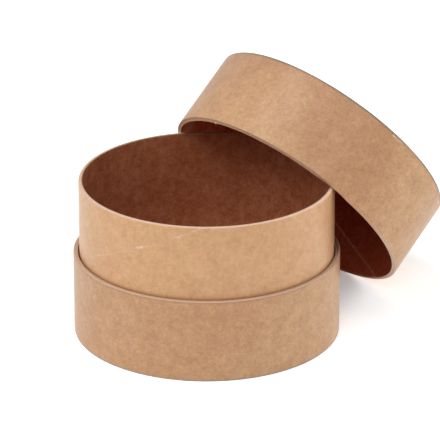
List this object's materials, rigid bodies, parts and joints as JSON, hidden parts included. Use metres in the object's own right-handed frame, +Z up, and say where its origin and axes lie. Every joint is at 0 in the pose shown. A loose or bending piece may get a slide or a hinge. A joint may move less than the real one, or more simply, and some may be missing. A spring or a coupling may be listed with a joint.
{
  "type": "cardboard tube box",
  "caption": "Round kraft cardboard tube box: a short base tube, a taller neck tube inside it, and a matching lid, shown taken off and leaning on the neck's rim.",
  "frame": {"origin": "centre of the base's underside, on the surface that the box stands on", "axes": "+Z up along the box's axis, +X from the box's axis towards the lid that leans on it"},
  "size_m": [0.1779, 0.12, 0.1173],
  "materials": {
    "outer_tube_board": "matte",
    "neck_board": "matte",
    "disc_board": "matte"
  },
  "bodies": {
    "box": {"base_tube": "outer_tube_board", "base_disc": "disc_board", "neck_tube": "neck_board"},
    "lid": {"lid_tube": "outer_tube_board", "lid_disc": "disc_board"}
  },
  "joints": [
    {"name": "lid_lift", "type": "slide", "parent": "box", "child": "lid", "axis": [0, 0, 1], "range_m": [0, 0.08]}
  ]
}
